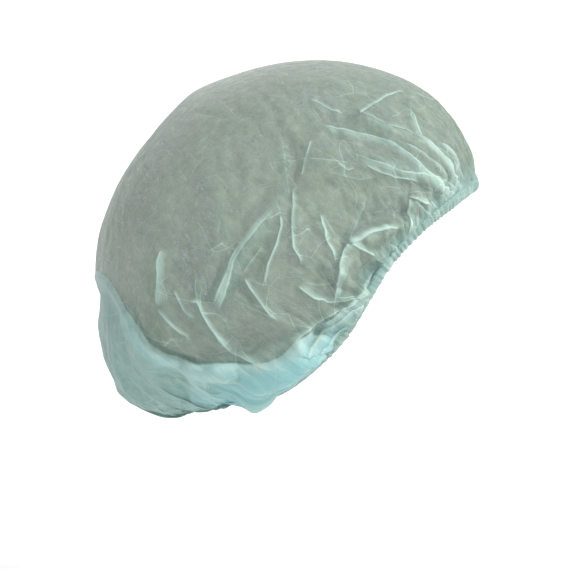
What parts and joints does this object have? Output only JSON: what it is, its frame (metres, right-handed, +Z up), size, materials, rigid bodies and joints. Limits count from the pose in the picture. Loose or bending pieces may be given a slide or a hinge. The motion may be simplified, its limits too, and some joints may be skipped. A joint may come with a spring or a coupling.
{
  "type": "disposable bouffant cap",
  "caption": "Sheer nonwoven bouffant cap: a slack round crown gathered into a narrow elastic hem, shaped as worn, low over the ears with a pouch at the nape, to keep hair covered.",
  "frame": {"origin": "inner face of the crown over the top of the head, where the head holds the cap", "axes": "+Z up, the wearer faces -Y, and -X is the side that the picture shows"},
  "size_m": [0.1954, 0.237, 0.2243],
  "materials": {
    "crown_cloth": "sheer spunbond nonwoven, matt",
    "hem_cloth": "gathered spunbond nonwoven, matt",
    "elastic": "flat white elastic, matt"
  },
  "bodies": {
    "root": {"crown": "crown_cloth", "hem_casing": "hem_cloth", "elastic_band": "elastic"}
  },
  "joints": []
}
